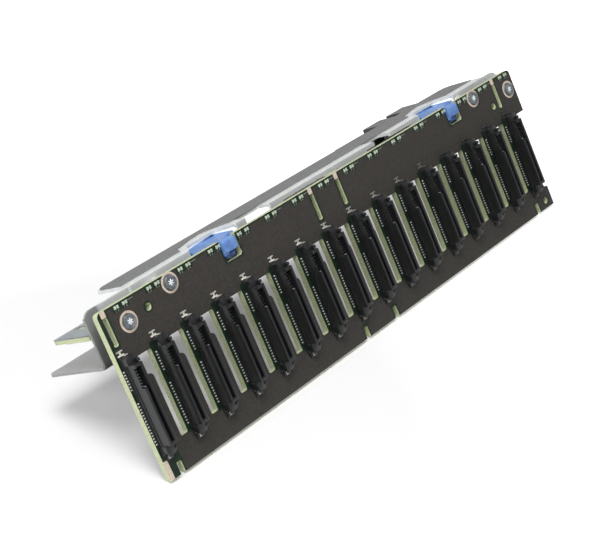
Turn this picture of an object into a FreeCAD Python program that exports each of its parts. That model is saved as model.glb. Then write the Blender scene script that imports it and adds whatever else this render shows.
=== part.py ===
import FreeCAD, Part
import math
import os

# Drive backplane board: a long slotted circuit board that carries sixteen hot-plug drive connectors,
# screwed to a folded zinc steel bracket with an expander board and two sprung release tabs behind it.
# Millimetres. While it is built, X runs along the board from its left edge, Y runs from the board's
# front face to the back, and Z runs up from its bottom edge. At the end every piece is moved so that
# the origin is the bottom centre of the whole assembly.

V = FreeCAD.Vector

# Main circuit board
BOARD_LENGTH = 285.5
BOARD_HEIGHT = 72.15
BOARD_THICK = 3.0
BOARD_CORNER_R = 2.0
FOOT_SETBACK = 3.7
FOOT_HEIGHT = 10.0
SIDE_NOTCH_DEPTH = 6.5
SIDE_NOTCH_DROP = 22.15

# Drive connectors, one pitch apart, and the airflow slots between them
CONNECTOR_COUNT = 16
END_ALLOWANCE = 0.7
PITCH = (BOARD_LENGTH - END_ALLOWANCE) / CONNECTOR_COUNT
SLOT_WIDTH = 3.8
SLOT_TO_NEXT = 0.9
SLOT_LEFT = PITCH - SLOT_TO_NEXT - SLOT_WIDTH
SLOT_BOTTOM = 12.9
SLOT_TOP = 49.8
SLOT_WIDE_BOTTOM = 41.5
SLOT_WIDE_EXTRA = 3.7
SLOT_STEP_CHAMFER = 1.3

# Narrow slots beside the copper edge pads and notches in the bottom edge, at the same columns
PAD_SLOT_WIDTH = 2.3
PAD_SLOT_LENGTH = 12.2
PAD_LENGTH = 2.75
PAD_SLOT_TOP = BOARD_HEIGHT - PAD_LENGTH
PAD_SLOT_BOTTOM = PAD_SLOT_TOP - PAD_SLOT_LENGTH
PAD_SLOT_OFFSET = 1.8
PAD_SLOT_COLUMNS = (0, 7, 8, 15)
EDGE_NOTCH_WIDTH = 2.6
EDGE_NOTCH_HEIGHT = 5.2
EDGE_NOTCH_OFFSETS = (5.6, 0.9, 4.4, 0.1)

# Connector housing, measured from its own left reference line
HOUSING_BOTTOM = 14.2
HOUSING_TOP = 49.2
HOUSING_LEFT = 2.0
HOUSING_WIDTH = 4.05
HOUSING_HEIGHT = 6.85
HOUSING_FLOOR = 1.3
NEAR_WALL = 1.1
FAR_WALL = 1.35
SIGNAL_WALL = 0.4
END_WALL = 1.3
KEY_Z = 39.6
LEDGE_WIDTH = 0.55
LEDGE_HEIGHT = 1.9
END_BLOCK_WIDER = 0.85
END_BLOCK_LENGTH = 4.0
END_BLOCK_HEIGHT = 4.3
END_BLOCK_CHAMFER = 1.2
TAIL_TUNNEL = 0.4

# Contacts: solder tails flat on the board
CONTACT_PITCH = 1.27
CONTACT_WIDTH = 0.5
CONTACT_THICK = 0.3
TAIL_OUT = 0.45
TAIL_IN = 2.7
SIGNAL_COUNT = 7
SIGNAL_TOP_Z = 47.26
POWER_COUNT = 15
POWER_TOP_Z = 33.64

# Hold-down clips at the connector ends
CLIP_THICK = 0.3
CLIP_LENGTH = 2.2
CLIP_WIDTH = 3.2
CLIP_RISE = 2.9
CLIP_LEFT = 1.1
CLIP_CLEARANCE = 0.05
LOW_CLIP_LEFT = 3.6
LOW_CLIP_WIDTH = 1.4

# Status indicators along the top edge
LED_X = (9.93, 14.48)
LED_DROP = 1.38
LED_LENGTH = 1.6
LED_DEPTH = 0.8
LED_HEIGHT = 0.6

# Fixing screws, their standoffs, and the guide holes
END_SCREW_LEFT = 12.8
END_SCREW_RIGHT = 5.4
END_SCREW_DROP = 8.85
INNER_SCREW_COLUMN = 2
INNER_SCREW_IN = 2.7
INNER_SCREW_LEFT_DROP = 3.95
INNER_SCREW_RIGHT_DROP = 3.45
SCREW_PLACES = ((END_SCREW_LEFT, BOARD_HEIGHT - END_SCREW_DROP),
                (PITCH * INNER_SCREW_COLUMN + INNER_SCREW_IN,
                 BOARD_HEIGHT - INNER_SCREW_LEFT_DROP),
                (PITCH * (CONNECTOR_COUNT - INNER_SCREW_COLUMN) + INNER_SCREW_IN,
                 BOARD_HEIGHT - INNER_SCREW_RIGHT_DROP),
                (BOARD_LENGTH - END_SCREW_RIGHT, BOARD_HEIGHT - END_SCREW_DROP))
SCREW_R = 1.45
SCREW_HOLE_R = 1.7
SCREW_HEAD_R = 3.0
SCREW_HEAD_HEIGHT = 1.7
SCREW_LENGTH = 7.5
THREAD_BORE_R = 1.5
STANDOFF_ACROSS = 5.5
GUIDE_LEFT = 23.9
GUIDE_LEFT_DROP = 7.75
GUIDE_RIGHT = 20.8
GUIDE_RIGHT_DROP = 12.45
FOOT_HOLE_RIGHT = 9.2
FOOT_HOLE_Z = 3.7
GUIDE_PLACES = ((GUIDE_LEFT, BOARD_HEIGHT - GUIDE_LEFT_DROP),
                (BOARD_LENGTH - GUIDE_RIGHT, BOARD_HEIGHT - GUIDE_RIGHT_DROP),
                (BOARD_LENGTH - FOOT_HOLE_RIGHT, FOOT_HOLE_Z))
GUIDE_R = 1.6
GUIDE_CLEAR_R = 2.4

# Folded steel bracket: upright plate, top flange and bottom shelf
STEEL = 1.2
BEND_R = 1.0
PLATE_GAP = 5.5
PLATE_OVERHANG = 1.0
PLATE_LENGTH = BOARD_LENGTH + PLATE_OVERHANG
PLATE_RISE = 1.35
PLATE_TOP = BOARD_HEIGHT + PLATE_RISE
PLATE_CORNER_R = 4.5
BRACKET_HEIGHT = 24.2
SHELF_BOTTOM = PLATE_TOP - BRACKET_HEIGHT
SHELF_REAR = 49.5
SHELF_CORNER_R = 3.0
FLANGE_LEFT = 26.0
FLANGE_RIGHT_SETBACK = 9.5
FLANGE_RIGHT = PLATE_LENGTH - FLANGE_RIGHT_SETBACK
FLANGE_REAR = 34.3
FLANGE_CORNER_R = 5.5
RELIEF_WIDTH = 1.2
RELIEF_DEPTH = 2.4

# Insulating sheet on the flange
SHEET = 0.4
SHEET_FRONT = 16.5
SHEET_END_GAP = 1.5
VENT_DROP = 5.0
VENT_REAR = SHEET_FRONT + 0.3

# Release tabs: sprung levers that swing on a pin under the flange and reach through the board
TAB_COLUMNS = (4, 13)
TAB_NOTCH_OFFSET = 2.1
TAB_NOTCH_LEFT = PITCH * TAB_COLUMNS[0] - TAB_NOTCH_OFFSET
TAB_SPACING = PITCH * (TAB_COLUMNS[1] - TAB_COLUMNS[0])
TAB_NOTCH_WIDTH = 9.8
TAB_NOTCH_DEPTH = 9.4
TAB_NOTCH_BOTTOM = BOARD_HEIGHT - TAB_NOTCH_DEPTH
TAB_NOTCH_R = 1.2
PIN_LEAD = 8.6
PIN_X = TAB_NOTCH_LEFT - PIN_LEAD
PIN_Y = 14.0
PIN_R = 1.5
PIN_CLEARANCE = 0.05
PIN_HEAD_R = 2.4
PIN_HEAD_HEIGHT = 0.8
TAB_HUB_R = 3.2
TAB_HUB_HEIGHT = 4.6
TAB_TOP_GAP = 0.25
TAB_PLATE = 2.2
TAB_END_REACH = 24.0
TAB_END_X = PIN_X + TAB_END_REACH
TAB_END_R = 3.5
TAB_REAR_Y = 21.0
TAB_FRONT_Y = 4.6
ARM_LEAD = 0.8
ARM_SLANT = 1.5
TONGUE_SIDE_GAP = 0.45
TONGUE_WIDTH = 7.6
TONGUE_REACH = 1.5
TONGUE_DROP = 5.4
TONGUE_THICK = 1.6
TONGUE_R = 1.8
GUSSET_WIDTH = 2.6
GUSSET_DROP = 6.6
RECESS_LEFT = PIN_X - 0.5
RECESS_SLANT = 8.5
RECESS_REAR = 19.3
RECESS_WIDTH = 25.0
RECESS_FLARE = 4.5
SHEET_RECESS = ((1.5, 0.0), (4.5, 6.0), (10.5, 8.3), (17.0, 10.7), (23.0, 11.6), (26.5, 8.6),
                (30.5, 2.6), (32.0, 0.0))
SHEET_RECESS_R = 1.5
TAB_WINDOW_DROP = 8.4
SPRING_WIRE_R = 0.3
SPRING_TURNS = 2
SPRING_LEG = 8.0
SPRING_GAP = 0.25

# Expander board on the shelf, its cover and its parts
EXPANDER_THICK = 1.6
EXPANDER_DROP = 9.7
EXPANDER_TOP = PLATE_TOP - EXPANDER_DROP
EXPANDER_LEFT = 1.0
EXPANDER_FRONT_STEP = 1.0
EXPANDER_STEP_Y = 27.0
EXPANDER_FRONT = 10.7
EXPANDER_REAR = 37.0
EXPANDER_WIDE_COLUMN = 9
EXPANDER_WIDE_LEFT = PITCH * EXPANDER_WIDE_COLUMN
EXPANDER_WIDE_REAR = 46.0
EXPANDER_RIGHT_SETBACK = 8.5
EXPANDER_RIGHT = PLATE_LENGTH - EXPANDER_RIGHT_SETBACK
EXPANDER_CORNER_R = 1.0
COVER_THICK = 0.5
COVER_RIGHT = 96.0
COVER_SLOT_X = 10.5
COVER_SLOT_Y = 28.0
COVER_SLOT_WIDTH = 3.0
COVER_SLOT_LENGTH = 6.0
POST_Y = 31.0
WIDE_POST_Y = 40.0
POST_INSET = 10.0
LEFT_POST_X = 46.0
POST_PLACES = ((LEFT_POST_X, POST_Y), (EXPANDER_WIDE_LEFT - POST_INSET, POST_Y),
               (EXPANDER_WIDE_LEFT + POST_INSET, WIDE_POST_Y),
               (EXPANDER_RIGHT - POST_INSET, POST_Y))
BRIDGE_LEFT_LEAD = 40.2
BRIDGE_LEFT_WIDTH = 36.0
BRIDGE_RIGHT_WIDTH = 32.0
BRIDGE_TO_PIN = 8.9
BRIDGE_RIGHT_END = PIN_X + TAB_SPACING - BRIDGE_TO_PIN
BRIDGE_PLACES = ((EXPANDER_WIDE_LEFT - BRIDGE_LEFT_LEAD, BRIDGE_LEFT_WIDTH),
                 (BRIDGE_RIGHT_END - BRIDGE_RIGHT_WIDTH, BRIDGE_RIGHT_WIDTH))
VENT_LEFT_SETBACK = 34.2
VENT_LEFT_WIDTH = 15.9
VENT_RIGHT_LEAD = 35.7
VENT_RIGHT_WIDTH = 12.2
VENT_CUTS = ((PIN_X + VENT_LEFT_SETBACK, VENT_LEFT_WIDTH),
             (PIN_X + TAB_SPACING - VENT_RIGHT_LEAD, VENT_RIGHT_WIDTH))
BRIDGE_HEIGHT = 6.6
BRIDGE_HEADER_DEPTH = 6.4
BRIDGE_SOCKET_DEPTH = 7.5
BRIDGE_WINDOW_MARGIN = 1.2
BRIDGE_LIP = 0.8
CABLE_WIDTH = 14.0
CABLE_RIGHT_SETBACK = 29.5
CABLE_SPACING = 19.5
CABLE_PLACES = (EXPANDER_RIGHT - CABLE_RIGHT_SETBACK - CABLE_SPACING,
                EXPANDER_RIGHT - CABLE_RIGHT_SETBACK)
CABLE_HEIGHT = 8.2
CABLE_FRONT = 39.0
CABLE_REAR = 55.0
CABLE_WALL = 1.2
CABLE_MOUTH_DEPTH = 8.0
POWER_WIDTH = 22.0
POWER_TO_CABLE = 10.0
POWER_LEFT = CABLE_PLACES[0] - POWER_TO_CABLE - POWER_WIDTH
POWER_HEIGHT = 8.0
POWER_DEPTH = 13.0
POWER_FRONT = 33.5
POWER_HOLE = 3.2
POWER_HOLE_PITCH = 4.2
POWER_ROW_PITCH = 3.7
POWER_FLOOR = 4.0
POWER_COLUMNS = 4
POWER_ROWS = 2
CHIP_LEAD = 42.0
CHIP_LEFT = EXPANDER_WIDE_LEFT - CHIP_LEAD
CHIP_WIDTH = 19.0
CHIP_DEPTH = 14.0
CHIP_FRONT = 20.5
CHIP_HEIGHT = 1.8
SINK_BASE = 1.4
SINK_FIN_HEIGHT = 3.4
SINK_FIN = 0.9
SINK_FINS = 7

REACH = 500.0
PLATE_FRONT = BOARD_THICK + PLATE_GAP
PLATE_BACK = PLATE_FRONT + STEEL
TAB_TOP = PLATE_TOP - STEEL - TAB_TOP_GAP
EXPANDER_BOTTOM = EXPANDER_TOP - EXPANDER_THICK
SHELF_TOP = SHELF_BOTTOM + STEEL
ORIGIN = V(PLATE_LENGTH / 2, (CABLE_REAR - HOUSING_HEIGHT) / 2, 0)


def box(x0, x1, y0, y1, z0, z1):
    return Part.makeBox(x1 - x0, y1 - y0, z1 - z0, V(x0, y0, z0))


def rod(centre, direction, radius, length):
    return Part.makeCylinder(radius, length, centre, direction)


def rounded_wire(corners):
    """A closed wire through corners given as (point, corner radius)."""
    ends = []
    count = len(corners)
    for i in range(count):
        point, radius = corners[i]
        to_last = (corners[i - 1][0] - point).normalize()
        to_next = (corners[(i + 1) % count][0] - point).normalize()
        if radius > 0:
            half = to_last.getAngle(to_next) / 2
            reach = radius / math.tan(half)
            middle = point + (to_last + to_next).normalize() * (radius / math.sin(half) - radius)
            ends.append((point + to_last * reach, middle, point + to_next * reach))
        else:
            ends.append((point, None, point))
    edges = []
    for i in range(count):
        start, middle, finish = ends[i]
        if middle is not None:
            edges.append(Part.Arc(start, middle, finish).toShape())
        following = ends[(i + 1) % count][0]
        if finish.distanceToPoint(following) > 1e-6:
            edges.append(Part.makeLine(finish, following))
    return Part.Wire(edges)


def front_wire(corners):
    """A wire in the board's front plane, from (x, z, radius)."""
    return rounded_wire([(V(x, 0, z), r) for x, z, r in corners])


def top_wire(corners, z):
    """A wire in a level plane, from (x, y, radius)."""
    return rounded_wire([(V(x, y, z), r) for x, y, r in corners])


def plate_from(outer, holes, direction):
    return Part.Face([outer] + holes, "Part::FaceMakerBullseye").extrude(direction)


def circle_wire(centre, direction, radius):
    return Part.Wire(Part.makeCircle(radius, centre, direction))


def airflow_slot(k):
    left = SLOT_LEFT + PITCH * k
    right = left + SLOT_WIDTH
    wide = left - SLOT_WIDE_EXTRA
    c = SLOT_STEP_CHAMFER
    return front_wire([(left, SLOT_BOTTOM, 0), (right, SLOT_BOTTOM, 0), (right, SLOT_TOP, 0),
                       (wide, SLOT_TOP, 0), (wide, SLOT_WIDE_BOTTOM, 0),
                       (left - c, SLOT_WIDE_BOTTOM, 0), (left, SLOT_WIDE_BOTTOM - c, 0)])


def main_board():
    corners = [(0, 0, 0)]
    for column, offset in zip(PAD_SLOT_COLUMNS, EDGE_NOTCH_OFFSETS):
        left = PITCH * column + offset
        right = left + EDGE_NOTCH_WIDTH
        corners += [(left, 0, 0), (left, EDGE_NOTCH_HEIGHT, 0), (right, EDGE_NOTCH_HEIGHT, 0),
                    (right, 0, 0)]
    foot = BOARD_LENGTH - FOOT_SETBACK
    waist = BOARD_LENGTH - SIDE_NOTCH_DEPTH
    waist_top = BOARD_HEIGHT - SIDE_NOTCH_DROP
    corners += [(foot, 0, 0), (foot, FOOT_HEIGHT, 0), (waist, FOOT_HEIGHT, 0),
                (waist, waist_top, 0), (BOARD_LENGTH, waist_top, 0),
                (BOARD_LENGTH, BOARD_HEIGHT, BOARD_CORNER_R)]
    for i in (1, 0):
        left = TAB_NOTCH_LEFT + TAB_SPACING * i
        right = left + TAB_NOTCH_WIDTH
        corners += [(right, BOARD_HEIGHT, 0), (right, TAB_NOTCH_BOTTOM, TAB_NOTCH_R),
                    (left, TAB_NOTCH_BOTTOM, TAB_NOTCH_R), (left, BOARD_HEIGHT, 0)]
    corners.append((0, BOARD_HEIGHT, BOARD_CORNER_R))
    holes = [airflow_slot(k) for k in range(CONNECTOR_COUNT - 1)]
    for column in PAD_SLOT_COLUMNS:
        left = PITCH * column + PAD_SLOT_OFFSET
        right = left + PAD_SLOT_WIDTH
        holes.append(front_wire([(left, PAD_SLOT_BOTTOM, 0), (right, PAD_SLOT_BOTTOM, 0),
                                 (right, PAD_SLOT_TOP, 0), (left, PAD_SLOT_TOP, 0)]))
    for x, z in SCREW_PLACES:
        holes.append(circle_wire(V(x, 0, z), V(0, 1, 0), SCREW_HOLE_R))
    for x, z in GUIDE_PLACES:
        holes.append(circle_wire(V(x, 0, z), V(0, 1, 0), GUIDE_R))
    return plate_from(front_wire(corners), holes, V(0, BOARD_THICK, 0))


def connector_housing():
    """A moulded receptacle at the left end of the board: tower, keyed slot, ledge and end blocks."""
    left = HOUSING_LEFT
    right = left + HOUSING_WIDTH
    tower = box(left, right, -HOUSING_HEIGHT, 0, HOUSING_BOTTOM, HOUSING_TOP)
    ledge = box(left - LEDGE_WIDTH, left, -LEDGE_HEIGHT, 0, HOUSING_BOTTOM, HOUSING_TOP)
    low = HOUSING_BOTTOM - END_BLOCK_LENGTH
    high = HOUSING_TOP + END_BLOCK_LENGTH
    c = END_BLOCK_CHAMFER
    wide = left - END_BLOCK_WIDER
    blocks = []
    for foot, tip in ((HOUSING_BOTTOM, low), (HOUSING_TOP, high)):
        inner = low + c if tip == low else high - c
        outline = front_wire([(wide, foot, 0), (wide, inner, 0), (wide + c, tip, 0),
                              (right - c, tip, 0), (right, inner, 0), (right, foot, 0)])
        blocks.append(plate_from(outline, [], V(0, -END_BLOCK_HEIGHT, 0)))
    body = tower.fuse([ledge] + blocks)
    slot_left = left + NEAR_WALL
    slot_right = right - FAR_WALL
    slot_low = HOUSING_BOTTOM + END_WALL
    slot_high = HOUSING_TOP - END_WALL
    slot = box(slot_left, slot_right, -REACH, -HOUSING_FLOOR, slot_low, slot_high)
    key = box(left + SIGNAL_WALL, slot_right, -REACH, -HOUSING_FLOOR, KEY_Z, slot_high)
    tunnel = box(-REACH, REACH, -TAIL_TUNNEL, 0, slot_low, slot_high)
    return body.cut([slot, key, tunnel]).removeSplitter()


def connector_contacts():
    """The solder tails of the signal and power contacts, which leave the housing on its left."""
    heights = [SIGNAL_TOP_Z - CONTACT_PITCH * i for i in range(SIGNAL_COUNT)]
    heights += [POWER_TOP_Z - CONTACT_PITCH * i for i in range(POWER_COUNT)]
    half = CONTACT_WIDTH / 2
    return Part.makeCompound([box(TAIL_OUT, TAIL_IN, -CONTACT_THICK, 0, z - half, z + half)
                              for z in heights])


def hold_down_clips():
    """An angled metal foot above each connector and a flat one below it, soldered to the board."""
    high = HOUSING_TOP + END_BLOCK_LENGTH + CLIP_CLEARANCE
    low = HOUSING_BOTTOM - END_BLOCK_LENGTH - CLIP_CLEARANCE
    foot = box(CLIP_LEFT, CLIP_LEFT + CLIP_WIDTH, -CLIP_THICK, 0, high, high + CLIP_LENGTH)
    blade = box(CLIP_LEFT, CLIP_LEFT + CLIP_WIDTH, -CLIP_RISE, 0, high, high + CLIP_THICK)
    upper = foot.fuse(blade).removeSplitter()
    lower = box(LOW_CLIP_LEFT, LOW_CLIP_LEFT + LOW_CLIP_WIDTH, -CLIP_THICK, 0,
                low - CLIP_LENGTH, low)
    clips = []
    for k in range(CONNECTOR_COUNT):
        for clip in (upper, lower):
            copy = clip.copy()
            copy.translate(V(PITCH * k, 0, 0))
            clips.append(copy)
    return Part.makeCompound(clips)


def status_indicators():
    half = LED_LENGTH / 2
    parts = []
    for k in range(CONNECTOR_COUNT):
        for x in LED_X:
            centre = x + PITCH * k
            top = BOARD_HEIGHT - LED_DROP + LED_DEPTH / 2
            parts.append(box(centre - half, centre + half, -LED_HEIGHT, 0, top - LED_DEPTH, top))
    return Part.makeCompound(parts)


def screw(length, head_r, head_height):
    """A screw along Y: its head's flat side at the origin and its shank towards +Y."""
    shank = rod(V(0, 0, 0), V(0, 1, 0), SCREW_R, length)
    head = rod(V(0, -head_height, 0), V(0, 1, 0), head_r, head_height)
    return shank.fuse(head).removeSplitter()


def board_screws():
    screws = []
    for x, z in SCREW_PLACES:
        one = screw(SCREW_LENGTH, SCREW_HEAD_R, SCREW_HEAD_HEIGHT)
        one.translate(V(x, 0, z))
        screws.append(one)
    return Part.makeCompound(screws)


def hexagon(centre, direction, across, height):
    """A hexagonal pillar that stands on centre along direction."""
    side = V(0, 1, 0).cross(direction)
    if side.Length < 0.5:
        side = V(1, 0, 0)
    up = side.cross(direction)
    r = across / math.sqrt(3)
    corners = []
    for i in range(6):
        turn = math.pi * i / 3
        corners.append((centre + side * (r * math.cos(turn)) + up * (r * math.sin(turn)), 0))
    return plate_from(rounded_wire(corners), [], direction * height)


def board_standoffs():
    tubes = []
    for x, z in SCREW_PLACES:
        start = V(x, BOARD_THICK, z)
        tube = hexagon(start, V(0, 1, 0), STANDOFF_ACROSS, PLATE_GAP)
        tubes.append(tube.cut(rod(start, V(0, 1, 0), THREAD_BORE_R, PLATE_GAP)))
    return Part.makeCompound(tubes)


def tab_recess(shift):
    """The cut round one release tab: a slanted bay in the flange and a window in the plate."""
    left = RECESS_LEFT + shift
    right = left + RECESS_WIDTH
    front = PLATE_FRONT - 1
    corners = [(left, front, 0), (left, PLATE_FRONT, 0), (left + RECESS_SLANT, RECESS_REAR, 1.5),
               (right, RECESS_REAR, 2.5), (right + RECESS_FLARE, PLATE_FRONT, 0),
               (right + RECESS_FLARE, front, 0)]
    outline = top_wire(corners, TAB_TOP - TAB_HUB_HEIGHT)
    deep = plate_from(outline, [], V(0, 0, REACH))
    window = box(left, right + RECESS_FLARE, front, PLATE_BACK,
                 PLATE_TOP - TAB_WINDOW_DROP, PLATE_TOP + 1)
    return deep, window


def steel_bracket():
    """One folded sheet: its side section swept along X, then trimmed at the ends and pierced."""
    outer = BEND_R + STEEL
    section = rounded_wire([(V(0, PLATE_FRONT, SHELF_BOTTOM), outer),
                            (V(0, PLATE_FRONT, PLATE_TOP), outer),
                            (V(0, FLANGE_REAR, PLATE_TOP), 0),
                            (V(0, FLANGE_REAR, PLATE_TOP - STEEL), 0),
                            (V(0, PLATE_BACK, PLATE_TOP - STEEL), BEND_R),
                            (V(0, PLATE_BACK, SHELF_TOP), BEND_R),
                            (V(0, SHELF_REAR, SHELF_TOP), 0),
                            (V(0, SHELF_REAR, SHELF_BOTTOM), 0)])
    body = Part.Face(section).extrude(V(PLATE_LENGTH, 0, 0))
    plate = plate_from(
        rounded_wire([(V(0, PLATE_FRONT, SHELF_TOP + BEND_R), 0),
                      (V(PLATE_LENGTH, PLATE_FRONT, SHELF_TOP + BEND_R), 0),
                      (V(PLATE_LENGTH, PLATE_FRONT, PLATE_TOP), PLATE_CORNER_R),
                      (V(0, PLATE_FRONT, PLATE_TOP), PLATE_CORNER_R)]), [], V(0, STEEL, 0))
    bend_top = PLATE_TOP - STEEL - BEND_R
    ends = [box(-1, FLANGE_LEFT, PLATE_FRONT - 1, FLANGE_REAR + 1, bend_top, PLATE_TOP + 1),
            box(FLANGE_RIGHT, PLATE_LENGTH + 1, PLATE_FRONT - 1, FLANGE_REAR + 1, bend_top,
                PLATE_TOP + 1)]
    body = body.cut(ends).fuse(plate).removeSplitter()
    r = FLANGE_CORNER_R
    flange_plan = top_wire([(FLANGE_LEFT, PLATE_FRONT - 1, 0), (FLANGE_RIGHT, PLATE_FRONT - 1, 0),
                            (FLANGE_RIGHT, FLANGE_REAR, r), (FLANGE_LEFT, FLANGE_REAR, r)],
                           bend_top)
    s = SHELF_CORNER_R
    shelf_plan = top_wire([(0, PLATE_FRONT - 1, 0), (PLATE_LENGTH, PLATE_FRONT - 1, 0),
                           (PLATE_LENGTH, SHELF_REAR, s), (0, SHELF_REAR, s)], SHELF_BOTTOM - 1)
    keep = [plate_from(flange_plan, [], V(0, 0, REACH)),
            plate_from(shelf_plan, [], V(0, 0, STEEL + 2)),
            box(-1, PLATE_LENGTH + 1, PLATE_FRONT - 1, PLATE_BACK + 0.001, 0, REACH),
            box(-1, PLATE_LENGTH + 1, PLATE_FRONT - 1, PLATE_BACK + BEND_R + 1, 0, bend_top)]
    body = body.common(keep[0].fuse(keep[1:]))
    cuts = []
    for edge in (FLANGE_LEFT - RELIEF_WIDTH, FLANGE_RIGHT):
        cuts.append(box(edge, edge + RELIEF_WIDTH, PLATE_FRONT - 1, PLATE_BACK + 2,
                        PLATE_TOP - RELIEF_DEPTH, PLATE_TOP + 1))
    for i in range(2):
        cuts += tab_recess(TAB_SPACING * i)
    for left, width in VENT_CUTS:
        cuts.append(box(left, left + width, PLATE_FRONT - 1, VENT_REAR, PLATE_TOP - VENT_DROP,
                        PLATE_TOP + 1))
    m = BRIDGE_WINDOW_MARGIN
    for left, width in BRIDGE_PLACES:
        cuts.append(box(left - m, left + width + m, PLATE_FRONT - 1, PLATE_BACK + 1,
                        EXPANDER_BOTTOM - m, EXPANDER_TOP + BRIDGE_HEIGHT + m))
    for x, z in GUIDE_PLACES[:2]:
        cuts.append(rod(V(x, PLATE_FRONT - 1, z), V(0, 1, 0), GUIDE_CLEAR_R, STEEL + 2))
    return body.cut(cuts).removeSplitter()


def top_sheet():
    gap = SHEET_END_GAP
    corners = [(FLANGE_LEFT + gap, SHEET_FRONT, 0)]
    for i in range(2):
        pin = PIN_X + TAB_SPACING * i
        for along, depth in SHEET_RECESS:
            corners.append((pin + along, SHEET_FRONT + depth, SHEET_RECESS_R if depth > 0 else 0))
    r = FLANGE_CORNER_R - 0.5
    corners += [(FLANGE_RIGHT - gap, SHEET_FRONT, 0), (FLANGE_RIGHT - gap, FLANGE_REAR, r),
                (FLANGE_LEFT + gap, FLANGE_REAR, r)]
    return plate_from(top_wire(corners, PLATE_TOP), [], V(0, 0, SHEET))


def release_tab():
    """The left tab: a hub on the pin, a flat arm, and a finger tongue that curls over the board."""
    low = TAB_TOP - TAB_PLATE
    tongue_left = TAB_NOTCH_LEFT + TONGUE_SIDE_GAP
    tongue_right = tongue_left + TONGUE_WIDTH
    arm_left = PIN_X + ARM_LEAD
    arm = plate_from(top_wire([(PIN_X, PIN_Y - TAB_HUB_R, 0), (arm_left, PIN_Y - TAB_HUB_R, 0),
                               (arm_left + ARM_SLANT, TAB_FRONT_Y, 0),
                               (TAB_END_X, TAB_FRONT_Y, TAB_END_R),
                               (TAB_END_X, TAB_REAR_Y, 0), (PIN_X, PIN_Y + TAB_HUB_R, 0)],
                              low), [], V(0, 0, TAB_PLATE))
    hub = rod(V(PIN_X, PIN_Y, TAB_TOP - TAB_HUB_HEIGHT), V(0, 0, 1), TAB_HUB_R, TAB_HUB_HEIGHT)
    tip = -TONGUE_REACH
    inside = tip + TONGUE_THICK
    fall = TAB_TOP - TONGUE_DROP
    curl = rounded_wire([(V(tongue_left, TAB_FRONT_Y + 1, TAB_TOP), 0),
                         (V(tongue_left, tip, TAB_TOP), TONGUE_R),
                         (V(tongue_left, tip, fall), 0),
                         (V(tongue_left, inside, fall), 0),
                         (V(tongue_left, inside, low), 0),
                         (V(tongue_left, TAB_FRONT_Y + 1, low), 0)])
    tongue = Part.Face(curl).extrude(V(TONGUE_WIDTH, 0, 0))
    gusset_low = TAB_TOP - GUSSET_DROP
    rib = rounded_wire([(V(tongue_left, inside - 0.5, low), 0),
                        (V(tongue_left, inside - 0.5, gusset_low), 0),
                        (V(tongue_left, inside + 1.6, gusset_low), 0),
                        (V(tongue_left, TAB_FRONT_Y + 1, low), 0)])
    gusset = Part.Face(rib).extrude(V(GUSSET_WIDTH, 0, 0))
    bore = rod(V(PIN_X, PIN_Y, 0), V(0, 0, 1), PIN_R + PIN_CLEARANCE, REACH)
    return arm.fuse([hub, tongue, gusset]).cut(bore).removeSplitter()


def pivot_pin():
    """A headed pin welded under the flange; its head carries the tab and the spring."""
    top = PLATE_TOP - STEEL
    spring_room = (2 * SPRING_TURNS + 2) * SPRING_WIRE_R + SPRING_GAP
    foot = TAB_TOP - TAB_HUB_HEIGHT - spring_room
    shaft = rod(V(PIN_X, PIN_Y, foot), V(0, 0, 1), PIN_R, top - foot)
    head = rod(V(PIN_X, PIN_Y, foot - PIN_HEAD_HEIGHT), V(0, 0, 1), PIN_HEAD_R, PIN_HEAD_HEIGHT)
    return shaft.fuse(head).removeSplitter()


def return_spring():
    """A torsion spring on the pin: a plain ring of turns with one leg against the upright plate."""
    spring_height = (2 * SPRING_TURNS + 1) * SPRING_WIRE_R
    foot = TAB_TOP - TAB_HUB_HEIGHT - SPRING_GAP / 2 - spring_height
    inner = PIN_R + 0.2
    coil = rod(V(PIN_X, PIN_Y, foot), V(0, 0, 1), inner + 2 * SPRING_WIRE_R, spring_height)
    coil = coil.cut(rod(V(PIN_X, PIN_Y, foot), V(0, 0, 1), inner, spring_height))
    near = PIN_Y - inner - 2 * SPRING_WIRE_R
    wall = PLATE_BACK + PIN_CLEARANCE
    low = foot + SPRING_WIRE_R / 2
    outline = top_wire([(PIN_X, near + SPRING_WIRE_R, 0), (PIN_X - SPRING_LEG, wall, 0),
                        (PIN_X - SPRING_LEG, wall + SPRING_WIRE_R, 0),
                        (PIN_X, near + 2 * SPRING_WIRE_R, 0)], low)
    leg = plate_from(outline, [], V(0, 0, SPRING_WIRE_R * 2))
    return coil.fuse(leg).removeSplitter()


def expander_board():
    left = EXPANDER_LEFT
    step = left - EXPANDER_FRONT_STEP
    r = EXPANDER_CORNER_R
    outline = top_wire([(step, EXPANDER_FRONT, 0), (EXPANDER_RIGHT, EXPANDER_FRONT, 0),
                        (EXPANDER_RIGHT, EXPANDER_WIDE_REAR, 0),
                        (EXPANDER_WIDE_LEFT, EXPANDER_WIDE_REAR, 0),
                        (EXPANDER_WIDE_LEFT, EXPANDER_REAR, 0), (left, EXPANDER_REAR, r),
                        (left, EXPANDER_STEP_Y, 0), (step, EXPANDER_STEP_Y, 0)], EXPANDER_BOTTOM)
    return plate_from(outline, [], V(0, 0, EXPANDER_THICK))


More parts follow.
